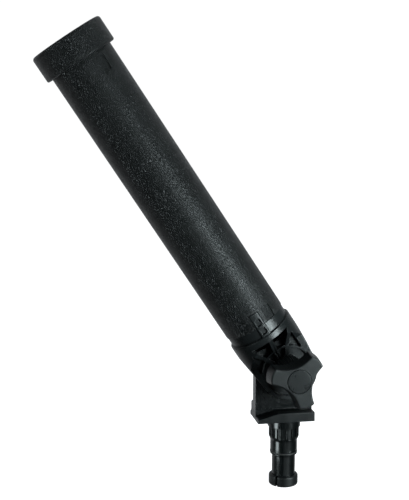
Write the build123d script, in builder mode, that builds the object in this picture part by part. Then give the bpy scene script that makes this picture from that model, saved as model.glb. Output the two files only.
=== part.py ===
"""Adjustable tube rod holder: a tilting tube on a clamped pivot, with a splined mounting post.

Origin: on the post's axis, level with the underside of the bracket's foot.  +Z is up,
the pivot runs along Y, the knob is on the -Y side and the tube leans towards -X at rest.
"""
from build123d import *
import math
import os

os.makedirs("parts", exist_ok=True)

# ---- driving dimensions (mm, degrees) --------------------------------------------
LEAN = 33.4             # tube's lean from vertical at rest
PIVOT_X = 1.0
PIVOT_Z = 42.0

# tube and collar, heights measured along the tube from the pivot
TUBE_R = 26.3
BORE_R = 23.3
TUBE_START = 50.0
TUBE_END = 315.0
COLLAR_R = 30.5
COLLAR_START = 297.6
COLLAR_END = 319.1

# yoke that carries the tube and straddles the bracket's wall
RING_R = 27.5
RING_START = 36.0
RING_END = 41.4
NECK_R = 25.7
SPIGOT_R = 24.5
SPIGOT_END = 72.0
SOCKET_FIT = 0.1        # gap round the spigot inside the tube
LUG_R = 24.2            # round lower end of the cheeks
FLARE_Z = 30.0          # where the cheeks reach the ring's full width
CHEEK_FACE = 11.0       # outer face of the cheeks, from the middle plane
CHEEK_FLOOR = 6.8       # floor of the pockets and of the round recess
SLOT_HALF = 5.2
SLOT_TOP = 24.5
RIM_R = 22.1
RIM_WALL = 1.6
RIM_BREAK = 0.8          # bevel on the rim's outer edge, facing the pockets
SLOPE_END = 20.0        # where the sloping front meets the cheek's face
WEB_HALF = 3.0          # web left in the middle above the slot
DEEP_START = 26.2
RIB_ANGLE = 28.0
RIB_HALF = 1.6
SPINE_HALF = 1.9
SPINE_GROOVE_HALF = 0.6
SPINE_GROOVE_DEPTH = 1.2
TONGUE_HALF = 4.1
TONGUE_END = 62.0
TONGUE_R = 27.0
TONGUE_GAP = 0.15
WINDOW_W = 4.8
WINDOW_DEPTH = 1.7
WINDOWS = ((45.8, 5.2), (53.9, 6.0))    # height of the middle, and length
BOSS_R = 12.2
BOSS_FACE = 14.0
HEX_POCKET_R = 6.7
DRAIN_R = 1.8
DRAIN_X = 11.0

# bracket
WALL_HALF = 4.8
WALL_TOP_R = 21.5
FOOT_LEFT = -25.5
FOOT_RIGHT = 22.5
FOOT_HALF = 15.2
FOOT_T = 7.8
FOOT_THIN = 3.4
SLOPE_X = -8.4

# post, heights below the foot
POST_COLLAR_R = 13.65
POST_COLLAR_END = -6.5
SPLINE_R = 12.65
SPLINE_END = -15.0
SPLINE_COUNT = 16
SHANK_R = 11.25
SHANK_START = -18.3
SHANK_END = -30.4
TAIL_R = 9.75
RING_SEAT_TOP = -48.5
POST_END = -57.2
LOCK_RING_R = 12.2
LOCK_RING_SEAT_R = 8.6
SLIT_AZIMUTH = -43.7
SLIT_W = 2.0

# pivot clamp
BOLT_R = 4.0
BOLT_CLEAR_R = 4.2
BUSH_R = 6.0
BUSH_BORE_R = 4.07
DISC_R = 17.0
DISC_T = 1.6
DISC_SEAT = 1.5
HUB_BACK_R = 13.4
HUB_FRONT_R = 11.8
HUB_FRONT = 28.8
HUB_FLUTES = 34
WASHER_T = 1.2
KNOB_BACK = 30.2
KNOB_FRONT = 43.4
KNOB_TIP_R = 22.9
KNOB_CORNER_R = 22.3
KNOB_LOBE_HALF = 6.4
KNOB_VALLEY_R = 11.4
KNOB_FLARE = 1.4         # how much wider the back is than the front
KNOB_FIRST_LOBE = 47.5
CAP_R = 9.6
INSERT_R = 7.0
INSERT_BORE_R = 4.07

# ---- corner roundings, chamfers and cutting allowances ------------------------------
TUBE_CHAMFER = 0.8
COLLAR_TOP_ROUND = 2.4
COLLAR_FOOT_ROUND = 1.5
COLLAR_MOUTH_ROUND = 1.6
MARK_CORNER = 0.7
CHEEK_ROUND = 0.9
SPIGOT_ROUND = 0.8
TONGUE_ROUND = 1.1
WINDOW_CORNER = 0.5
FOOT_CORNER = 1.2
FOOT_TOP_ROUND = 0.9
LOCK_RING_ROUND = 1.4
BOLT_HEAD_CHAMFER = 0.6
BOLT_END_CHAMFER = 0.8
SOCKET_HEX_R = 3.0
HEX_HEAD_R = 6.5
POST_WASHER_R = 7.0
PIVOT_WASHER_R = 6.6
THRUST_WASHER_R = 9.0
RUNNING_GAP = 0.1        # between faces that turn against each other
KNOB_VALLEY_ROUND = 1.5
KNOB_FACE_ROUND = 1.2
KNOB_BACK_CHAMFER = 0.8
MATCH = 0.01             # how closely an edge has to match a size to be picked
SPARE = 1.0              # how far a cut runs past the material it removes
WIDE_CUT = 70.0          # wider than the yoke that the clevis slot crosses
SLOT_LENGTH = 60.0

# ---- shared planes and axes --------------------------------------------------------
lean = math.radians(LEAN)
pivot = Vector(PIVOT_X, 0, PIVOT_Z)
tube_dir = Vector(-math.sin(lean), 0, math.cos(lean))
cross_dir = Vector(math.cos(lean), 0, math.sin(lean))

tube_plane = Plane(origin=pivot, x_dir=cross_dir, z_dir=tube_dir)
side_plane = Plane(origin=pivot, x_dir=cross_dir, z_dir=(0, -1, 0))
depth_plane = Plane(origin=pivot, x_dir=(0, 1, 0), z_dir=cross_dir)
upright_plane = Plane(origin=pivot, x_dir=(1, 0, 0), z_dir=(0, -1, 0))
front_plane = Plane.XZ
tube_axis = Axis(pivot, tube_dir)
pivot_axis = Axis(pivot, (0, -1, 0))


def tangent_point(from_x, from_z, radius):
    """Point where the line from (from_x, from_z) touches a circle round the origin."""
    reach = math.hypot(from_x, from_z)
    angle = math.atan2(from_z, from_x) - math.acos(radius / reach)
    return radius * math.cos(angle), radius * math.sin(angle)


def surface_plane(azimuth, radius, height, tilt):
    """Plane facing outwards from the tube: x runs up the tube, tilted about the tangent."""
    turn = math.radians(azimuth)
    outward = cross_dir * math.sin(turn) + Vector(0, -math.cos(turn), 0)
    base = Plane(origin=pivot + tube_dir * height + outward * radius, x_dir=tube_dir, z_dir=outward)
    return base.rotated((0, tilt, 0))


def finish_piece(builder, name):
    """Label a finished piece and write it out."""
    builder.part.label = name
    export_step(builder.part, f"parts/{name}.step")


# ---- rod tube ------------------------------------------------------------------------
RECESS_AZIMUTH = 32.0
RECESS_FLOOR_R = 25.45
RECESS_TILT = 3.2
RECESS_LENGTH = 12.3
RECESS_W = 13.0
RECESS_EDGE = 1.6       # from the floor's normal to the edge nearest the tongue
RECESS_TOPS = (62.3, 293.3)

with BuildPart() as rod_tube:
    with BuildSketch(tube_plane.offset(TUBE_START)):
        Circle(TUBE_R)
        Circle(BORE_R, mode=Mode.SUBTRACT)
    extrude(amount=TUBE_END - TUBE_START)
    chamfer(rod_tube.edges().filter_by(GeomType.CIRCLE).sort_by(tube_axis)[-1], length=TUBE_CHAMFER)
    # counterbore over the yoke's spigot, so the bore runs on at one diameter
    with BuildSketch(tube_plane.offset(TUBE_START)):
        Circle(SPIGOT_R + SOCKET_FIT)
    extrude(amount=SPIGOT_END - TUBE_START, mode=Mode.SUBTRACT)
    # notch in the lower end for the yoke's tongue
    with BuildSketch(side_plane.offset(BORE_R - 3)):
        with Locations((0, (TUBE_START + TONGUE_END) / 2)):
            Rectangle(2 * (TONGUE_HALF + TONGUE_GAP), TONGUE_END - TUBE_START + 2 * TONGUE_GAP)
    extrude(amount=10, mode=Mode.SUBTRACT)
    # wedge-shaped moulded recesses on both sides, at both ends
    for top in RECESS_TOPS:
        for side in (1, -1):
            wedge = surface_plane(side * RECESS_AZIMUTH, RECESS_FLOOR_R, top, RECESS_TILT)
            with BuildSketch(wedge):
                with Locations((-RECESS_LENGTH / 2, side * (RECESS_W / 2 - RECESS_EDGE))):
                    RectangleRounded(RECESS_LENGTH, RECESS_W, MARK_CORNER)
            extrude(amount=3, mode=Mode.SUBTRACT)
finish_piece(rod_tube, "rod_tube")

# ---- rim collar ------------------------------------------------------------------------
with BuildPart() as rim_collar:
    with BuildSketch(side_plane):
        with BuildLine():
            Polyline(
                (TUBE_R, COLLAR_START), (COLLAR_R, COLLAR_START), (COLLAR_R, COLLAR_END),
                (BORE_R, COLLAR_END), (BORE_R, TUBE_END), (TUBE_R, TUBE_END), close=True)
        make_face()
    revolve(axis=tube_axis)
    collar_rings = rim_collar.edges().filter_by(GeomType.CIRCLE)
    outer_rings = collar_rings.filter_by(lambda e: abs(e.radius - COLLAR_R) < MATCH)
    mouth_ring = collar_rings.filter_by(lambda e: abs(e.radius - BORE_R) < MATCH).sort_by(tube_axis)[-1]
    fillet(outer_rings.sort_by(tube_axis)[-1], radius=COLLAR_TOP_ROUND)
    fillet(outer_rings.sort_by(tube_axis)[0], radius=COLLAR_FOOT_ROUND)
    fillet(mouth_ring, radius=COLLAR_MOUTH_ROUND)
finish_piece(rim_collar, "rim_collar")

# ---- yoke ------------------------------------------------------------------------------
tan_x, tan_z = tangent_point(RING_R, FLARE_Z, LUG_R)
rib = math.radians(RIB_ANGLE)


def rib_edge(distance, offset):
    """Point along a slanting rib, at an offset across it."""
    return (distance * math.sin(rib) + offset * math.cos(rib),
            distance * math.cos(rib) - offset * math.sin(rib))


with BuildPart() as tube_yoke:
    # outline seen along the pivot: round below, flaring up to the ring
    with BuildSketch(side_plane):
        with BuildLine():
            Polyline(
                (tan_x, tan_z), (RING_R, FLARE_Z), (RING_R, RING_END),
                (-RING_R, RING_END), (-RING_R, FLARE_Z), (-tan_x, tan_z))
            ThreePointArc((-tan_x, tan_z), (0, -LUG_R), (tan_x, tan_z))
        make_face()
    extrude(amount=RING_R, both=True)
    # front and back slope in from the ring to the cheeks
    with BuildSketch(depth_plane):
        Polygon(
            (-RING_R, RING_END), (RING_R, RING_END), (RING_R, RING_START), (CHEEK_FACE, SLOPE_END),
            (CHEEK_FACE, -LUG_R - 1), (-CHEEK_FACE, -LUG_R - 1), (-CHEEK_FACE, SLOPE_END),
            (-RING_R, RING_START), align=None)
    extrude(amount=RING_R + SPARE, both=True, mode=Mode.INTERSECT)
    with BuildSketch(tube_plane.offset(-LUG_R - 1)):
        Circle(RING_R)
    extrude(amount=LUG_R + RING_END + SPARE, mode=Mode.INTERSECT)
    face_edges = tube_yoke.edges().filter_by(lambda e: abs(abs(e.center().Y) - CHEEK_FACE) < MATCH)
    below_slope = face_edges.filter_by(lambda e: tube_plane.to_local_coords(e.center()).Z < SLOPE_END - SPARE)
    fillet(below_slope, radius=CHEEK_ROUND)
    fillet(tube_yoke.edges().filter_by(GeomType.CIRCLE).sort_by(tube_axis)[-1], radius=SPIGOT_ROUND)
    # neck and the spigot that holds the tube
    with BuildSketch(tube_plane.offset(RING_END)):
        Circle(NECK_R)
    extrude(amount=TUBE_START - RING_END)
    with BuildSketch(tube_plane.offset(TUBE_START)):
        Circle(SPIGOT_R)
    extrude(amount=SPIGOT_END - TUBE_START)
    # tongue up the front, standing a little proud of the tube
    with BuildSketch(tube_plane.offset(RING_END - 1)) as tongue_outline:
        Circle(TONGUE_R)
        with Locations((0, -TONGUE_R)):
            Rectangle(2 * TONGUE_HALF, 2 * (TONGUE_R - SPIGOT_R + 0.6), mode=Mode.INTERSECT)
        fillet(tongue_outline.vertices().sort_by(Axis.Y)[:2], radius=TONGUE_ROUND)
    extrude(amount=TONGUE_END - RING_END + SPARE)
    # socket for the rod's butt, with a floor and drain holes
    with BuildSketch(tube_plane.offset(RING_END)):
        Circle(BORE_R)
    extrude(amount=SPIGOT_END, mode=Mode.SUBTRACT)
    # slot for the bracket's wall
    with BuildSketch(side_plane.offset(-SLOT_HALF)):
        with Locations((0, SLOT_TOP - SLOT_LENGTH / 2)):
            Rectangle(WIDE_CUT, SLOT_LENGTH)
    extrude(amount=2 * SLOT_HALF, mode=Mode.SUBTRACT)
    for side in (1, -1):
        # pockets between the spine, the ribs and the edges, down to the rim
        with BuildSketch(side_plane.offset(side * CHEEK_FLOOR)):
            Polygon(
                (SPINE_HALF, RING_START), rib_edge(39.9, -RIB_HALF), rib_edge(15, -RIB_HALF),
                (SPINE_HALF, 14), align=None)
            Polygon(rib_edge(36.5, RIB_HALF), (20.4, 12.0), rib_edge(15, RIB_HALF), align=None)
            Circle(RIM_R, mode=Mode.SUBTRACT)
            mirror(about=Plane.YZ)
        extrude(amount=side * RING_R, mode=Mode.SUBTRACT)
        # the pockets run deeper above the slot
        with BuildSketch(side_plane.offset(side * WEB_HALF)):
            Polygon(
                (SPINE_HALF, RING_START), rib_edge(39.9, -RIB_HALF), rib_edge(30.5, -RIB_HALF),
                (SPINE_HALF, DEEP_START), align=None)
            mirror(about=Plane.YZ)
        extrude(amount=side * RING_R, mode=Mode.SUBTRACT)
        # round recess inside the rim, crossed by the spine and the slanting ribs
        with BuildSketch(side_plane.offset(side * CHEEK_FLOOR)):
            Circle(RIM_R - RIM_WALL)
            Circle(HUB_BACK_R + 0.5, mode=Mode.SUBTRACT)
            with Locations((0, 15)):
                Rectangle(2 * SPINE_HALF, 20, mode=Mode.SUBTRACT)
            for turn in (-RIB_ANGLE, RIB_ANGLE):
                with Locations(Location((0, 0, 0), (0, 0, turn)) * Location((0, 16, 0))):
                    Rectangle(2 * RIB_HALF, 20, mode=Mode.SUBTRACT)
        extrude(amount=side * RING_R, mode=Mode.SUBTRACT)
        # groove down the middle of the spine
        with BuildSketch(depth_plane):
            Polygon(
                (-side * (RING_R - SPINE_GROOVE_DEPTH), RING_START - 1.4), (-side * 40, RING_START - 1.4),
                (-side * 40, 12), (-side * (CHEEK_FACE - SPINE_GROOVE_DEPTH), 12),
                (-side * (CHEEK_FACE - SPINE_GROOVE_DEPTH), SLOPE_END), align=None)
        extrude(amount=SPINE_GROOVE_HALF, both=True, mode=Mode.SUBTRACT)
    rim_edges = tube_yoke.edges().filter_by(GeomType.CIRCLE).filter_by(
        lambda e: abs(e.radius - RIM_R) < MATCH and abs(abs(e.center().Y) - CHEEK_FACE) < MATCH)
    chamfer(rim_edges, length=RIM_BREAK)
    # ladder windows in the tongue
    for height, length in WINDOWS:
        with BuildSketch(side_plane.offset(TONGUE_R - WINDOW_DEPTH)):
            with Locations((0, height)):
                RectangleRounded(WINDOW_W, length, WINDOW_CORNER)
        extrude(amount=5, mode=Mode.SUBTRACT)
    # front seat for the hub, and rear boss with the bolt head's hexagonal pocket
    with BuildSketch(side_plane.offset(-SLOT_HALF)):
        Circle(BOSS_R)
    extrude(amount=-(BOSS_FACE - SLOT_HALF))
    with BuildSketch(side_plane.offset(-CHEEK_FLOOR)):
        RegularPolygon(HEX_POCKET_R, 6, major_radius=False)
    extrude(amount=-20, mode=Mode.SUBTRACT)
    with BuildSketch(side_plane.offset(CHEEK_FLOOR)):
        Circle(HUB_BACK_R + 0.5)
    extrude(amount=20, mode=Mode.SUBTRACT)
    # bolt hole through both cheeks
    with BuildSketch(side_plane.offset(-20)):
        Circle(BOLT_CLEAR_R)
    extrude(amount=40, mode=Mode.SUBTRACT)
    # drain holes through the socket floor
    with BuildSketch(tube_plane.offset(SLOT_TOP - 3)):
        with Locations((DRAIN_X, 0), (-DRAIN_X, 0)):
            Circle(DRAIN_R)
    extrude(amount=RING_END - SLOT_TOP + 5, mode=Mode.SUBTRACT)
finish_piece(tube_yoke, "tube_yoke")

# ---- bracket: foot and central wall ------------------------------------------------------
INSERT_SEAT_R = 5.5
INSERT_LENGTH = 7.0

GUSSET_W = 3.2
GUSSET_REACH = 10.8
GUSSET_TOP = 13.6
ROOT_R = 1.6
ROOT_STOP = 1.2         # where the roots stop short of the foot's ends

with BuildPart() as bracket:
    # foot, its top sloping down towards the left end
    with BuildSketch(front_plane):
        Polygon(
            (FOOT_LEFT, 0), (FOOT_RIGHT, 0), (FOOT_RIGHT, FOOT_T), (SLOPE_X, FOOT_T),
            (FOOT_LEFT, FOOT_THIN), align=None)
    extrude(amount=FOOT_HALF, both=True)
    fillet(bracket.edges().filter_by(Axis.Z), radius=FOOT_CORNER)
    top_edges = bracket.faces().filter_by(lambda f: f.normal_at().Z > 0.5).edges()
    fillet(top_edges.filter_by(lambda e: abs(abs(e.center().Y) - FOOT_HALF) < MATCH), radius=FOOT_TOP_ROUND)
    # wall, round about the pivot on top
    with BuildSketch(front_plane):
        with BuildLine():
            left_x, left_z = tangent_point(PIVOT_X - FOOT_LEFT, -5.0, WALL_TOP_R)
            Polyline(
                (PIVOT_X + WALL_TOP_R, PIVOT_Z), (FOOT_RIGHT, FOOT_T - 1), (SLOPE_X, FOOT_T - 1),
                (FOOT_LEFT, FOOT_THIN - 1), (FOOT_LEFT, PIVOT_Z - 5.0),
                (PIVOT_X - left_x, PIVOT_Z + left_z))
            ThreePointArc(
                (PIVOT_X - left_x, PIVOT_Z + left_z), (PIVOT_X, PIVOT_Z + WALL_TOP_R),
                (PIVOT_X + WALL_TOP_R, PIVOT_Z))
        make_face()
    extrude(amount=WALL_HALF, both=True)
    # hollow-rounded roots between the wall and the foot
    slope_run = Vector(FOOT_LEFT + ROOT_STOP - SLOPE_X, 0, 0)
    slope_run.Z = slope_run.X * (FOOT_T - FOOT_THIN) / (SLOPE_X - FOOT_LEFT)
    for run in (Vector(FOOT_RIGHT - ROOT_STOP - SLOPE_X, 0, 0), slope_run):
        for side in (1, -1):
            with BuildSketch(Plane.YZ.offset(SLOPE_X)):
                with BuildLine():
                    Polyline(
                        (side * WALL_HALF, FOOT_T + ROOT_R), (side * (WALL_HALF - 1), FOOT_T + ROOT_R),
                        (side * (WALL_HALF - 1), FOOT_T - 1), (side * (WALL_HALF + ROOT_R), FOOT_T - 1),
                        (side * (WALL_HALF + ROOT_R), FOOT_T))
                    RadiusArc(
                        (side * (WALL_HALF + ROOT_R), FOOT_T), (side * WALL_HALF, FOOT_T + ROOT_R),
                        side * ROOT_R)
                make_face()
            extrude(amount=run.length, dir=run.normalized())
    # gusset behind the wall at the foot's left end
    with BuildSketch(Plane.YZ.offset(FOOT_LEFT)):
        Polygon(
            (WALL_HALF - 1, FOOT_THIN - 1), (GUSSET_REACH, FOOT_THIN - 1), (GUSSET_REACH, GUSSET_TOP - 2),
            (GUSSET_REACH - 2, GUSSET_TOP), (WALL_HALF - 1, GUSSET_TOP), align=None)
    extrude(amount=GUSSET_W)
    # pivot bore and the seats for the friction discs
    with BuildSketch(upright_plane.offset(-WALL_HALF - 1)):
        Circle(BUSH_R)
    extrude(amount=2 * WALL_HALF + 2, mode=Mode.SUBTRACT)
    for side in (1, -1):
        with BuildSketch(upright_plane.offset(side * (WALL_HALF - DISC_SEAT))):
            Circle(DISC_R + 0.1)
        extrude(amount=side * DISC_SEAT, mode=Mode.SUBTRACT)
    # seat for the threaded insert that takes the post's bolt
    with BuildSketch(Plane.XY):
        Circle(INSERT_SEAT_R)
    extrude(amount=INSERT_LENGTH, mode=Mode.SUBTRACT)
    with BuildSketch(Plane.XY):
        Circle(BOLT_CLEAR_R)
    extrude(amount=FOOT_T + 5, mode=Mode.SUBTRACT)
finish_piece(bracket, "bracket")

# ---- post ----------------------------------------------------------------------------------
POST_BORE_R = 4.3
HEAD_SEAT_R = 7.2
HEAD_SEAT_TOP = -49.0
GROOVE_W = 3.4
GROOVE_DEPTH = 1.3
GROOVE_PHASE = 11.25
O_RING_Z = -28.9
O_RING_R = 0.9
O_RING_PROUD = 0.25

with BuildPart() as post:
    with BuildSketch(front_plane):
        with BuildLine():
            Polyline(
                (POST_BORE_R, 0), (POST_COLLAR_R, 0), (POST_COLLAR_R, POST_COLLAR_END),
                (SPLINE_R, POST_COLLAR_END - 0.6), (SPLINE_R, SPLINE_END), (SHANK_R, SHANK_START),
                (SHANK_R, SHANK_END), (TAIL_R, SHANK_END - 1.2), (TAIL_R, RING_SEAT_TOP),
                (LOCK_RING_SEAT_R, RING_SEAT_TOP), (LOCK_RING_SEAT_R, POST_END),
                (POST_BORE_R, POST_END), close=True)
        make_face()
    revolve(axis=Axis.Z)
    # spline grooves with rounded lower ends
    for index in range(SPLINE_COUNT):
        azimuth = math.radians(GROOVE_PHASE + index * 360 / SPLINE_COUNT)
        outward = Vector(math.sin(azimuth), -math.cos(azimuth), 0)
        groove_plane = Plane(origin=outward * (SPLINE_R - GROOVE_DEPTH), x_dir=(0, 0, 1), z_dir=outward)
        with BuildSketch(groove_plane):
            with Locations(((POST_COLLAR_END + SPLINE_END) / 2, 0)):
                SlotOverall(POST_COLLAR_END - SPLINE_END + GROOVE_W, GROOVE_W)
            with Locations((POST_COLLAR_END + 10, 0)):
                Rectangle(20, 2 * GROOVE_W, mode=Mode.SUBTRACT)
        extrude(amount=4, mode=Mode.SUBTRACT)
    # groove for the sealing ring and a fine line above it
    with BuildSketch(front_plane):
        with Locations((SHANK_R - O_RING_R + O_RING_PROUD, O_RING_Z)):
            Rectangle(2 * O_RING_R, 2 * O_RING_R)
        with Locations((SHANK_R, O_RING_Z)):
            Rectangle(2 * O_RING_R, 2 * O_RING_R)
        with Locations((SHANK_R, O_RING_Z + 2.2)):
            Rectangle(0.6, 0.45)
    revolve(axis=Axis.Z, mode=Mode.SUBTRACT)
    # seat for the bolt's head, up from the bottom
    with BuildSketch(Plane.XY.offset(POST_END)):
        Circle(HEAD_SEAT_R)
    extrude(amount=HEAD_SEAT_TOP - POST_END, mode=Mode.SUBTRACT)
finish_piece(post, "post")

with BuildPart() as post_seal_ring:
    with BuildSketch(front_plane):
        with Locations((SHANK_R - O_RING_R + O_RING_PROUD, O_RING_Z)):
            Circle(O_RING_R - 0.03)
    revolve(axis=Axis.Z)
finish_piece(post_seal_ring, "post_seal_ring")

with BuildPart() as post_lock_ring:
    with BuildSketch(Plane.XY.offset(POST_END)):
        Circle(LOCK_RING_R)
        Circle(LOCK_RING_SEAT_R, mode=Mode.SUBTRACT)
    extrude(amount=RING_SEAT_TOP - POST_END)
    rings = post_lock_ring.edges().filter_by(GeomType.CIRCLE)
    fillet(rings.filter_by(lambda e: e.radius > LOCK_RING_SEAT_R + 1), radius=LOCK_RING_ROUND)
    slit = math.radians(SLIT_AZIMUTH)
    slit_out = Vector(math.sin(slit), -math.cos(slit), 0)
    with BuildSketch(Plane(origin=slit_out * 5, x_dir=(0, 0, 1), z_dir=slit_out)):
        with Locations((POST_END, 0)):
            Rectangle(40, SLIT_W)
    extrude(amount=20, mode=Mode.SUBTRACT)
finish_piece(post_lock_ring, "post_lock_ring")

# ---- post's bolt, washer and threaded insert ------------------------------------------------
POST_HEAD_R = 6.5
POST_HEAD_T = 5.5
POST_WASHER_T = 1.4

with BuildPart() as post_bolt:
    head_top = HEAD_SEAT_TOP - POST_WASHER_T
    with BuildSketch(Plane.XY.offset(head_top - POST_HEAD_T)):
        Circle(POST_HEAD_R)
    extrude(amount=POST_HEAD_T)
    chamfer(post_bolt.edges().group_by(Axis.Z)[0], length=BOLT_HEAD_CHAMFER)
    with BuildSketch(Plane.XY.offset(head_top)):
        Circle(BOLT_R)
    extrude(amount=INSERT_LENGTH + 1 - head_top)
    chamfer(post_bolt.edges().group_by(Axis.Z)[-1], length=BOLT_END_CHAMFER)
    with BuildSketch(Plane.XY.offset(head_top - POST_HEAD_T)):
        RegularPolygon(SOCKET_HEX_R, 6, major_radius=False)
    extrude(amount=4, mode=Mode.SUBTRACT)
finish_piece(post_bolt, "post_bolt")

with BuildPart() as post_bolt_washer:
    with BuildSketch(Plane.XY.offset(HEAD_SEAT_TOP - POST_WASHER_T)):
        Circle(POST_WASHER_R)
        Circle(BOLT_CLEAR_R, mode=Mode.SUBTRACT)
    extrude(amount=POST_WASHER_T)
finish_piece(post_bolt_washer, "post_bolt_washer")

with BuildPart() as foot_insert:
    with BuildSketch(Plane.XY):
        Circle(INSERT_SEAT_R)
        Circle(INSERT_BORE_R, mode=Mode.SUBTRACT)
    extrude(amount=INSERT_LENGTH)
finish_piece(foot_insert, "foot_insert")

# ---- pivot bushing and friction discs --------------------------------------------------------
bush_half = WALL_HALF - DISC_SEAT

with BuildPart() as pivot_bushing:
    with BuildSketch(upright_plane.offset(-bush_half)):
        Circle(BUSH_R)
        Circle(BUSH_BORE_R, mode=Mode.SUBTRACT)
    extrude(amount=2 * bush_half)
finish_piece(pivot_bushing, "pivot_bushing")

with BuildPart() as front_friction_disc:
    with BuildSketch(upright_plane.offset(bush_half)):
        Circle(DISC_R)
        Circle(BOLT_CLEAR_R, mode=Mode.SUBTRACT)
    extrude(amount=DISC_T)
finish_piece(front_friction_disc, "front_friction_disc")

with BuildPart() as rear_friction_disc:
    with BuildSketch(upright_plane.offset(-bush_half)):
        Circle(DISC_R)
        Circle(BOLT_CLEAR_R, mode=Mode.SUBTRACT)
    extrude(amount=-DISC_T)
finish_piece(rear_friction_disc, "rear_friction_disc")

# ---- clamp bolt through the pivot, its washer and the fluted hub -----------------------------
CLAMP_WASHER_T = 1.2
CLAMP_HEAD_T = 5.3
BOLT_END = 38.5

with BuildPart() as pivot_bolt:
    with BuildSketch(upright_plane.offset(-CHEEK_FLOOR - CLAMP_WASHER_T)):
        Circle(BOLT_R)
    extrude(amount=CHEEK_FLOOR + CLAMP_WASHER_T + BOLT_END)
    chamfer(pivot_bolt.edges().sort_by(Axis.Y)[0], length=BOLT_END_CHAMFER)
    with BuildSketch(side_plane.offset(-CHEEK_FLOOR - CLAMP_WASHER_T)):
        RegularPolygon(HEX_HEAD_R, 6, major_radius=False)
    extrude(amount=-CLAMP_HEAD_T)
finish_piece(pivot_bolt, "pivot_bolt")

with BuildPart() as pivot_bolt_washer:
    with BuildSketch(upright_plane.offset(-CHEEK_FLOOR)):
        Circle(PIVOT_WASHER_R)
        Circle(BOLT_CLEAR_R, mode=Mode.SUBTRACT)
    extrude(amount=-CLAMP_WASHER_T)
finish_piece(pivot_bolt_washer, "pivot_bolt_washer")

FLUTE_DEPTH = 0.9
FLUTES_START = 1.6      # plain band at the back
FLUTES_END = 1.0        # plain band at the front


def fluted_ring(radius):
    """Closed line of V-shaped flutes round a circle."""
    step = math.pi / HUB_FLUTES
    return [((radius - (index % 2) * FLUTE_DEPTH) * math.cos(index * step),
             (radius - (index % 2) * FLUTE_DEPTH) * math.sin(index * step)) for index in range(2 * HUB_FLUTES)]


with BuildPart() as clamp_hub:
    with BuildSketch(upright_plane.offset(CHEEK_FLOOR + FLUTES_START)):
        Polygon(*fluted_ring(HUB_BACK_R), align=None)
    with BuildSketch(upright_plane.offset(HUB_FRONT - FLUTES_END)):
        Polygon(*fluted_ring(HUB_FRONT_R), align=None)
    loft(ruled=True)
    with BuildSketch(upright_plane.offset(CHEEK_FLOOR)):
        Circle(HUB_BACK_R)
    extrude(amount=FLUTES_START)
    with BuildSketch(upright_plane.offset(HUB_FRONT - FLUTES_END)):
        Circle(HUB_FRONT_R)
    extrude(amount=FLUTES_END)
    with BuildSketch(upright_plane):
        Circle(BOLT_CLEAR_R)
    extrude(amount=HUB_FRONT + 2, mode=Mode.SUBTRACT)
finish_piece(clamp_hub, "clamp_hub")

# ---- thrust washer that travels with the knob ---------------------------------------------------
with BuildPart() as thrust_washer:
    with BuildSketch(upright_plane.offset(HUB_FRONT + RUNNING_GAP)):
        Circle(THRUST_WASHER_R)
        Circle(BUSH_BORE_R, mode=Mode.SUBTRACT)
    extrude(amount=WASHER_T)
finish_piece(thrust_washer, "thrust_washer")

# ---- three-lobed knob, its brass insert and its plain cap ----------------------------------------
CAP_T = 2.2


def polar(radius, degrees):
    """Point in the knob's own plane."""
    return radius * math.cos(math.radians(degrees)), radius * math.sin(math.radians(degrees))


def lobe_corners(corner_r, lobe_half):
    """Angle from a lobe's middle to its corners."""
    return math.degrees(math.asin(lobe_half / corner_r))


with BuildPart() as knob_body:
    # three lobes, flaring out towards the back
    for depth, grow in ((KNOB_BACK, KNOB_FLARE), (KNOB_FRONT, 0)):
        tip_r = KNOB_TIP_R + grow
        corner_r = KNOB_CORNER_R + grow
        valley_r = KNOB_VALLEY_R + grow
        corner = lobe_corners(corner_r, KNOB_LOBE_HALF + grow)
        with BuildSketch(upright_plane.offset(depth)) as lobes:
            with BuildLine():
                for lobe in range(3):
                    middle = KNOB_FIRST_LOBE + 120 * lobe
                    ThreePointArc(
                        polar(corner_r, middle - corner), polar(tip_r, middle),
                        polar(corner_r, middle + corner))
                    ThreePointArc(
                        polar(corner_r, middle + corner), polar(valley_r, middle + 60),
                        polar(corner_r, middle + 120 - corner))
            make_face()
            fillet(lobes.vertices(), radius=KNOB_VALLEY_ROUND)
    loft(ruled=True)
    fillet(knob_body.faces().sort_by(Axis.Y)[0].edges(), radius=KNOB_FACE_ROUND)
    chamfer(knob_body.faces().sort_by(Axis.Y)[-1].edges(), length=KNOB_BACK_CHAMFER)
    # seat for the cap, with a thin groove left round it
    with BuildSketch(upright_plane.offset(KNOB_FRONT)):
        Circle(CAP_R + 0.35)
    extrude(amount=-CAP_T, mode=Mode.SUBTRACT)
    with BuildSketch(upright_plane.offset(KNOB_BACK)):
        Circle(INSERT_R)
    extrude(amount=KNOB_FRONT - KNOB_BACK, mode=Mode.SUBTRACT)
finish_piece(knob_body, "knob_body")

with BuildPart() as knob_insert:
    with BuildSketch(upright_plane.offset(KNOB_BACK + RUNNING_GAP)):
        Circle(INSERT_R)
        Circle(INSERT_BORE_R, mode=Mode.SUBTRACT)
    extrude(amount=KNOB_FRONT - CAP_T - KNOB_BACK - RUNNING_GAP)
finish_piece(knob_insert, "knob_insert")

with BuildPart() as knob_cap:
    with BuildSketch(upright_plane.offset(KNOB_FRONT - CAP_T)):
        Circle(CAP_R)
    extrude(amount=CAP_T + 0.2)
    fillet(knob_cap.edges().sort_by(Axis.Y)[0], radius=0.5)
finish_piece(knob_cap, "knob_cap")
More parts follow.
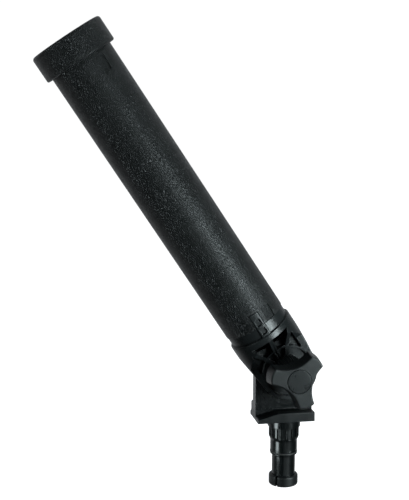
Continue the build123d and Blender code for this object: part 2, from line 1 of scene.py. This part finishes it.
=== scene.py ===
"""Looks for the tube rod holder: moulded black plastics, rubber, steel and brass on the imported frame."""
import bpy
import math
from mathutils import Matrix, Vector


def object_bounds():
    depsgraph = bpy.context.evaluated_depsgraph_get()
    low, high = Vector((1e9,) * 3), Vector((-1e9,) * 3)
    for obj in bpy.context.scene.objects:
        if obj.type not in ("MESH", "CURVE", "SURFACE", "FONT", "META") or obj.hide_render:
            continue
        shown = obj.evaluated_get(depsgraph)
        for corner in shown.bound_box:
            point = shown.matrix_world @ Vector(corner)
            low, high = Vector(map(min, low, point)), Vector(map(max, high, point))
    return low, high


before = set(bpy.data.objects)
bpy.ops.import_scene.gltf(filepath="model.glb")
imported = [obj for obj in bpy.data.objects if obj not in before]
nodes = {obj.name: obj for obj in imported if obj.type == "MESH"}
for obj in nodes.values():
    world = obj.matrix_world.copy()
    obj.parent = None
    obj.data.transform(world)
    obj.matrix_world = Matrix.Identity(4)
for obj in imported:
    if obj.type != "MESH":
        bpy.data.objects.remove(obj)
cad_low, cad_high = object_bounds()

MM = 0.001

# ---- camera ------------------------------------------------------------------------------
CAMERA_AZIMUTH = -10.0
CAMERA_ELEVATION = 8.08
CAMERA_DISTANCE = 0.789
CAMERA_LENS = 70.8
CAMERA_SENSOR = 36.0
CAMERA_NEAR = 0.01
CAMERA_FAR = 20.0
CAMERA_TARGET = Vector((-0.06725, 0.0, 0.14238))

# ---- floor and backdrop ---------------------------------------------------------------------
FLOOR_GAP = 0.5 * MM
FLOOR_RADIUS = 2.4
FLOOR_BEND = 0.6
BACKDROP_TOP = 3.0
FLOOR_SIDES = 96
BEND_STEPS = 12
FLOOR_GLOW = 0.97
FLOOR_TONES = ((0.86, 0.86, 0.86), (0.88, 0.88, 0.88))

# ---- studio light: its colour, how bright it is towards the front and the back, and where it changes
COOL_WHITE = (0.87, 1.0, 1.02)
WALL_WHITE = (0.93, 0.97, 1.0)
FRONT_LIGHT = 0.02
BACK_LIGHT = 0.55
WALL_START = 0.15
WALL_FULL = 0.8

# where lamps point: the clamp, and the post below the foot
CLAMP = Vector((0.0, 0.0, 0.03))
POST = Vector((0.0, 0.0, -0.022))
# name, azimuth, elevation, distance, width, height, watts, aim, beam in degrees
LAMPS = (
    ("key", 37.0, 4.0, 0.85, 0.26, 0.42, 12.0, CLAMP, 180.0),
    ("left_fill", -62.0, 16.0, 0.9, 0.3, 0.5, 1.3, CLAMP, 180.0),
    # a small white card standing close on the post's left
    ("left_card", -67.0, -3.0, 0.11, 0.045, 0.075, 0.018, POST, 60.0),
    # light that a pale table sends up into the undersides
    ("bounce", 15.0, -35.0, 0.5, 0.4, 0.2, 0.10, CLAMP, 180.0),
    ("top", 62.0, 62.0, 1.6, 0.26, 0.34, 5.0, CLAMP, 180.0),
)

# ---- colours: each black is a dark and a light tone that a cloudy noise mixes -----------------
TUBE_BLACK = ((0.0024, 0.0031, 0.0033), (0.0046, 0.0056, 0.0058))
YOKE_BLACK = ((0.0076, 0.0088, 0.0092), (0.0104, 0.0120, 0.0125))
BODY_BLACK = ((0.0016, 0.0022, 0.0024), (0.0030, 0.0038, 0.0040))
KNOB_BLACK = ((0.0050, 0.0061, 0.0064), (0.0074, 0.0088, 0.0092))
POST_BLACK = ((0.0016, 0.0022, 0.0024), (0.0028, 0.0036, 0.0038))
SEAL_BLACK = (0.006, 0.006, 0.006)
DISC_GREY = (0.02, 0.02, 0.021)
STEEL = (0.62, 0.63, 0.64)
BRASS = (0.70, 0.50, 0.20)
BRONZE = (0.52, 0.33, 0.15)

# ---- moulded plastic: noise scales are in cycles per metre ------------------------------------
PLASTIC_IOR = 1.5
CLOUD_SCALE = 38.0
SCUFF_SCALE = 900.0
SMEAR_SCALE = 120.0
RIPPLE_SCALE = 1600.0
RIPPLE_DEPTH = 0.004 * MM
GLOSS_SPREAD = 0.07
EDGE_ROUND = 0.35 * MM
# paler edge tone and its width: partly wear, partly a painted highlight on the edges
EDGE_WEAR_AND_HIGHLIGHT = 0.25
WEAR_AND_HIGHLIGHT_WIDTH = 1.6
BEVEL_SAMPLES = 6
FOOT_TOP = 8.0 * MM
FOOT_FROST = 0.10
FOOT_BLEND = 0.5 * MM

# ---- metal and rubber ------------------------------------------------------------------------
TURNING_SCALE = 2600.0
ALONG_TURNING_SCALE = 60.0
TURNING_DEPTH = 0.01 * MM
TARNISH_SCALE = 260.0
METAL_EDGE = 0.2 * MM
RUBBER_IOR = 1.45
BLOOM_SCALE = 420.0
RUBBER_GRAIN_SCALE = 2800.0
RUBBER_GRAIN_DEPTH = 0.02 * MM
RUBBER_EDGE = 0.15 * MM


def outward(azimuth, elevation):
    """Direction from the object towards a place around it; azimuth 0 is in front, at -Y."""
    a = math.radians(azimuth)
    e = math.radians(elevation)
    return Vector((math.sin(a) * math.cos(e), -math.cos(a) * math.cos(e), math.sin(e)))


def make_camera():
    data = bpy.data.cameras.new("camera")
    data.lens = CAMERA_LENS
    data.sensor_width = CAMERA_SENSOR
    data.clip_start = CAMERA_NEAR
    data.clip_end = CAMERA_FAR
    camera = bpy.data.objects.new("camera", data)
    bpy.context.collection.objects.link(camera)
    towards = outward(CAMERA_AZIMUTH, CAMERA_ELEVATION)
    camera.location = CAMERA_TARGET + towards * CAMERA_DISTANCE
    camera.rotation_mode = "QUATERNION"
    camera.rotation_quaternion = towards.to_track_quat("Z", "Y")
    bpy.context.scene.camera = camera


# ---- node helpers ------------------------------------------------------------------------
class Shader:
    """A material's node tree, with short ways to add and join nodes."""

    def __init__(self, name):
        self.material = bpy.data.materials.new(name)
        self.material.use_nodes = True
        self.tree = self.material.node_tree
        self.tree.nodes.clear()
        self.output = self.add("ShaderNodeOutputMaterial")
        self.principled = self.add("ShaderNodeBsdfPrincipled")
        self.join(self.principled, "BSDF", self.output, "Surface")
        self.place = self.add("ShaderNodeTexCoord")

    def add(self, kind, **settings):
        node = self.tree.nodes.new(kind)
        for key, value in settings.items():
            setattr(node, key, value)
        return node

    def join(self, source, out_name, target, in_name):
        self.tree.links.new(source.outputs[out_name], target.inputs[in_name])

    def noise(self, scale, detail, roughness):
        node = self.add("ShaderNodeTexNoise")
        node.inputs["Scale"].default_value = scale
        node.inputs["Detail"].default_value = detail
        node.inputs["Roughness"].default_value = roughness
        self.join(self.place, "Object", node, "Vector")
        return node

    def cells(self, scale, warp, amount):
        """Distance to the edges of irregular cells, bent by the warp noise."""
        node = self.add("ShaderNodeTexVoronoi", feature="DISTANCE_TO_EDGE")
        node.inputs["Scale"].default_value = scale
        mix = self.add("ShaderNodeVectorMath", operation="MULTIPLY_ADD")
        mix.inputs[1].default_value = (amount, amount, amount)
        self.tree.links.new(warp.outputs["Color"], mix.inputs[0])
        self.tree.links.new(self.place.outputs["Object"], mix.inputs[2])
        self.tree.links.new(mix.outputs[0], node.inputs["Vector"])
        return node

    def ramp(self, source, out_name, low, low_colour, high, high_colour):
        node = self.add("ShaderNodeValToRGB")
        start, end = node.color_ramp.elements
        start.position = low
        start.color = (*low_colour, 1.0)
        end.position = high
        end.color = (*high_colour, 1.0)
        self.join(source, out_name, node, "Fac")
        return node

    def spread(self, source, out_name, low, high, from_low, from_high):
        node = self.add("ShaderNodeMapRange")
        node.inputs["From Min"].default_value = from_low
        node.inputs["From Max"].default_value = from_high
        node.inputs["To Min"].default_value = low
        node.inputs["To Max"].default_value = high
        self.join(source, out_name, node, "Value")
        return node

    def math(self, operation, *values):
        node = self.add("ShaderNodeMath", operation=operation)
        for index, value in enumerate(values):
            if isinstance(value, (int, float)):
                node.inputs[index].default_value = value
            else:
                self.tree.links.new(value, node.inputs[index])
        return node.outputs[0]

    def bump(self, height, distance, strength, normal):
        node = self.add("ShaderNodeBump")
        node.inputs["Distance"].default_value = distance
        node.inputs["Strength"].default_value = strength
        self.tree.links.new(height, node.inputs["Height"])
        self.tree.links.new(normal, node.inputs["Normal"])
        return node.outputs["Normal"]

    def round_edges(self, radius):
        node = self.add("ShaderNodeBevel", samples=BEVEL_SAMPLES)
        node.inputs["Radius"].default_value = radius
        return node.outputs["Normal"]

    def edge_mask(self, radius):
        """1 on sharp edges and 0 on open surfaces."""
        bevel = self.round_edges(radius)
        geometry = self.add("ShaderNodeNewGeometry")
        dot = self.add("ShaderNodeVectorMath", operation="DOT_PRODUCT")
        self.tree.links.new(bevel, dot.inputs[0])
        self.tree.links.new(geometry.outputs["Normal"], dot.inputs[1])
        return self.spread(dot, "Value", 0.0, 1.0, 0.98, 0.80).outputs["Result"]


def pebbled(shader, size, depth, normal):
    """Leathery grain: soft pebbles one cell wide, with finer noise over them."""
    warp = shader.noise(0.5 / size, 2.0, 0.5)
    cells = shader.cells(1.0 / size, warp, 0.9 * size)
    pebble = shader.spread(cells, "Distance", 0.0, 1.0, 0.0, 0.22)
    pebble.interpolation_type = "SMOOTHERSTEP"
    fine = shader.noise(2.4 / size, 3.0, 0.6)
    height = shader.math("MULTIPLY_ADD", fine.outputs["Fac"], 0.45, pebble.outputs["Result"])
    return shader.bump(height, depth, 1.0, normal)


def moulded_plastic(name, tones, rough, grain, edge_radius=EDGE_ROUND, foot=False, mirror=0.5):
    """Moulded black plastic. grain is (cell size, depth), both in metres, or None for smooth."""
    dark, light = tones
    shader = Shader(name)
    surface = shader.principled
    surface.inputs["IOR"].default_value = PLASTIC_IOR
    surface.inputs["Specular IOR Level"].default_value = mirror
    clouds = shader.noise(CLOUD_SCALE, 4.0, 0.6)
    tone = shader.ramp(clouds, "Fac", 0.35, dark, 0.68, light)
    # edges go paler in patches: partly rubbed wear, partly a painted highlight where edges catch the light
    worn_highlit_tone = tuple(min(1.0, 2.2 * c + 0.012) for c in light)
    mix = shader.add("ShaderNodeMix", data_type="RGBA")
    edges = shader.edge_mask(edge_radius * WEAR_AND_HIGHLIGHT_WIDTH)
    scuffs = shader.noise(SCUFF_SCALE, 5.0, 0.7)
    patchy_wear_highlight = shader.spread(scuffs, "Fac", 0.0, EDGE_WEAR_AND_HIGHLIGHT, 0.45, 0.7).outputs["Result"]
    shader.tree.links.new(shader.math("MULTIPLY", edges, patchy_wear_highlight), mix.inputs[0])
    shader.tree.links.new(tone.outputs["Color"], mix.inputs[6])
    mix.inputs[7].default_value = (*worn_highlit_tone, 1.0)
    shader.tree.links.new(mix.outputs[2], surface.inputs["Base Color"])
    smears = shader.noise(SMEAR_SCALE, 5.0, 0.65)
    gloss = shader.spread(smears, "Fac", rough - GLOSS_SPREAD, rough + GLOSS_SPREAD, 0.3, 0.7)
    gloss_out = gloss.outputs["Result"]
    if foot:
        # the foot is more finely frosted than the wall above it
        heights = shader.add("ShaderNodeSeparateXYZ")
        shader.tree.links.new(shader.place.outputs["Object"], heights.inputs[0])
        frost = shader.spread(heights, "Z", FOOT_FROST, 0.0, FOOT_TOP - FOOT_BLEND, FOOT_TOP + FOOT_BLEND)
        gloss_out = shader.math("ADD", gloss_out, frost.outputs["Result"])
    shader.tree.links.new(gloss_out, surface.inputs["Roughness"])
    normal = shader.round_edges(edge_radius)
    if grain is None:
        ripple = shader.noise(RIPPLE_SCALE, 2.0, 0.5)
        normal = shader.bump(ripple.outputs["Fac"], RIPPLE_DEPTH, 1.0, normal)
    else:
        normal = pebbled(shader, *grain, normal)
    shader.tree.links.new(normal, surface.inputs["Normal"])
    return shader.material


def metal(name, colour, rough, brush_axis):
    """Machined metal with fine turning lines along one axis and small tarnish."""
    shader = Shader(name)
    surface = shader.principled
    surface.inputs["Metallic"].default_value = 1.0
    stretch = shader.add("ShaderNodeMapping")
    scale = [TURNING_SCALE, TURNING_SCALE, TURNING_SCALE]
    scale[brush_axis] = ALONG_TURNING_SCALE
    stretch.inputs["Scale"].default_value = scale
    shader.join(shader.place, "Object", stretch, "Vector")
    lines = shader.add("ShaderNodeTexNoise")
    lines.inputs["Scale"].default_value = 1.0
    lines.inputs["Detail"].default_value = 3.0
    shader.join(stretch, "Vector", lines, "Vector")
    tarnish = shader.noise(TARNISH_SCALE, 4.0, 0.6)
    dull = tuple(0.72 * c for c in colour)
    tone = shader.ramp(tarnish, "Fac", 0.35, dull, 0.6, colour)
    shader.join(tone, "Color", surface, "Base Color")
    gloss = shader.spread(lines, "Fac", rough - 0.08, rough + 0.1, 0.3, 0.7)
    shader.join(gloss, "Result", surface, "Roughness")
    normal = shader.bump(lines.outputs["Fac"], TURNING_DEPTH, 0.6, shader.round_edges(METAL_EDGE))
    shader.tree.links.new(normal, surface.inputs["Normal"])
    return shader.material


def rubber(name, colour, rough):
    """Matt rubber with a powdery bloom."""
    shader = Shader(name)
    surface = shader.principled
    surface.inputs["IOR"].default_value = RUBBER_IOR
    bloom = shader.noise(BLOOM_SCALE, 5.0, 0.7)
    light = tuple(1.7 * c + 0.004 for c in colour)
    tone = shader.ramp(bloom, "Fac", 0.4, colour, 0.7, light)
    shader.join(tone, "Color", surface, "Base Color")
    gloss = shader.spread(bloom, "Fac", rough - 0.06, rough + 0.08, 0.3, 0.7)
    shader.join(gloss, "Result", surface, "Roughness")
    fine = shader.noise(RUBBER_GRAIN_SCALE, 3.0, 0.6)
    normal = shader.bump(fine.outputs["Fac"], RUBBER_GRAIN_DEPTH, 0.7, shader.round_edges(RUBBER_EDGE))
    shader.tree.links.new(normal, surface.inputs["Normal"])
    return shader.material


def dress(material, *names):
    """Give CAD nodes a material in place of the plain one."""
    for name in names:
        mesh = nodes[name].data
        mesh.materials.clear()
        mesh.materials.append(material)


def dress_all():
    """Every node's material; a grain is (cell size, depth)."""
    leather = (1.25 * MM, 0.31 * MM)
    grained = moulded_plastic("grained_plastic", TUBE_BLACK, 0.37, leather, mirror=0.42)
    dress(grained, "rod_tube", "rim_collar")
    yoke_grain = (0.7 * MM, 0.016 * MM)
    satin = moulded_plastic("satin_plastic", YOKE_BLACK, 0.30, yoke_grain, 0.45 * MM, mirror=0.27)
    dress(satin, "tube_yoke")
    wall_grain = (0.8 * MM, 0.015 * MM)
    wall = moulded_plastic("bracket_plastic", BODY_BLACK, 0.25, wall_grain, foot=True, mirror=0.28)
    dress(wall, "bracket")
    hub_grain = (0.7 * MM, 0.020 * MM)
    hub = moulded_plastic("hub_plastic", KNOB_BLACK, 0.40, hub_grain, 0.15 * MM)
    dress(hub, "clamp_hub")
    knob_grain = (0.6 * MM, 0.018 * MM)
    knob = moulded_plastic("knob_plastic", KNOB_BLACK, 0.36, knob_grain, mirror=0.32)
    dress(knob, "knob_body")
    cap_grain = (0.5 * MM, 0.008 * MM)
    cap = moulded_plastic("cap_plastic", KNOB_BLACK, 0.30, cap_grain, mirror=0.32)
    dress(cap, "knob_cap")
    glossy = moulded_plastic("post_plastic", POST_BLACK, 0.21, None)
    dress(glossy, "post")
    ring_grain = (0.5 * MM, 0.012 * MM)
    ring = moulded_plastic("lock_ring_plastic", BODY_BLACK, 0.46, ring_grain, mirror=0.3)
    dress(ring, "post_lock_ring")
    dress(rubber("seal_rubber", SEAL_BLACK, 0.55), "post_seal_ring")
    dress(rubber("friction_rubber", DISC_GREY, 0.7), "front_friction_disc", "rear_friction_disc")
    # the last number is the axis that the brushed lines run along: 1 is Y, 2 is Z
    dress(metal("steel", STEEL, 0.3, 1), "pivot_bolt", "pivot_bolt_washer", "thrust_washer")
    dress(metal("steel_upright", STEEL, 0.3, 2), "post_bolt", "post_bolt_washer")
    dress(metal("brass", BRASS, 0.28, 2), "foot_insert", "knob_insert")
    dress(metal("bronze", BRONZE, 0.42, 1), "pivot_bushing")


# ---- studio ------------------------------------------------------------------------------
def floor_mesh():
    """Round floor that curves up into a backdrop all round, well away from the object."""
    floor_z = cad_low.z - FLOOR_GAP
    centre = (cad_low + cad_high) / 2
    profile = [(FLOOR_RADIUS / 4, 0.0), (FLOOR_RADIUS, 0.0)]
    for step in range(1, BEND_STEPS + 1):
        turn = math.radians(90 * step / BEND_STEPS)
        rise = FLOOR_BEND * (1 - math.cos(turn))
        profile.append((FLOOR_RADIUS + FLOOR_BEND * math.sin(turn), rise))
    profile.append((FLOOR_RADIUS + FLOOR_BEND, BACKDROP_TOP))
    verts = [(centre.x, centre.y, floor_z)]
    for radius, height in profile:
        for index in range(FLOOR_SIDES):
            turn = 2 * math.pi * index / FLOOR_SIDES
            x = centre.x + radius * math.cos(turn)
            y = centre.y + radius * math.sin(turn)
            verts.append((x, y, floor_z + height))
    faces = []
    for index in range(FLOOR_SIDES):
        following = (index + 1) % FLOOR_SIDES
        faces.append((0, 1 + index, 1 + following))
        for ring in range(len(profile) - 1):
            low = 1 + ring * FLOOR_SIDES
            high = low + FLOOR_SIDES
            faces.append((low + index, high + index, high + following, low + following))
    mesh = bpy.data.meshes.new("floor")
    mesh.from_pydata(verts, [], faces)
    for polygon in mesh.polygons:
        polygon.use_smooth = True
    return mesh


def make_floor():
    mesh = floor_mesh()
    floor = bpy.data.objects.new("floor", mesh)
    bpy.context.collection.objects.link(floor)
    shader = Shader("pale_floor")
    surface = shader.principled
    surface.inputs["Roughness"].default_value = 0.9
    surface.inputs["Specular IOR Level"].default_value = 0.1
    surface.inputs["Emission Color"].default_value = (1.0, 1.0, 1.0, 1.0)
    surface.inputs["Emission Strength"].default_value = FLOOR_GLOW
    mottle = shader.noise(3.0, 2.0, 0.5)
    tone = shader.ramp(mottle, "Fac", 0.3, FLOOR_TONES[0], 0.7, FLOOR_TONES[1])
    shader.join(tone, "Color", surface, "Base Color")
    mesh.materials.append(shader.material)
    # only the camera sees the floor, so the parts mirror the dark front of the studio
    floor.visible_glossy = False
    floor.visible_diffuse = False
    floor.visible_shadow = False


def soft_light(name, azimuth, elevation, distance, width, height, watts, aim, beam):
    data = bpy.data.lights.new(name, "AREA")
    data.shape = "RECTANGLE"
    data.size = width
    data.size_y = height
    data.energy = watts
    data.color = COOL_WHITE
    data.spread = math.radians(beam)
    light = bpy.data.objects.new(name, data)
    bpy.context.collection.objects.link(light)
    towards = outward(azimuth, elevation)
    light.location = aim + towards * distance
    light.rotation_mode = "QUATERNION"
    light.rotation_quaternion = towards.to_track_quat("Z", "Y")
    light.visible_camera = False


def make_world():
    """A dark studio in front of the object that fades to bright walls behind it."""
    world = bpy.data.worlds.new("studio")
    bpy.context.scene.world = world
    world.use_nodes = True
    tree = world.node_tree
    background = tree.nodes["Background"]
    place = tree.nodes.new("ShaderNodeTexCoord")
    axes = tree.nodes.new("ShaderNodeSeparateXYZ")
    tree.links.new(place.outputs["Generated"], axes.inputs[0])
    fade = tree.nodes.new("ShaderNodeMapRange")
    fade.interpolation_type = "SMOOTHSTEP"
    fade.inputs["From Min"].default_value = WALL_START
    fade.inputs["From Max"].default_value = WALL_FULL
    fade.inputs["To Min"].default_value = FRONT_LIGHT
    fade.inputs["To Max"].default_value = BACK_LIGHT
    tree.links.new(axes.outputs["Y"], fade.inputs["Value"])
    tree.links.new(fade.outputs["Result"], background.inputs["Strength"])
    background.inputs["Color"].default_value = (*WALL_WHITE, 1.0)


make_world()
make_camera()
dress_all()
make_floor()
for lamp in LAMPS:
    soft_light(*lamp)
bpy.context.scene.view_settings.view_transform = "Standard"
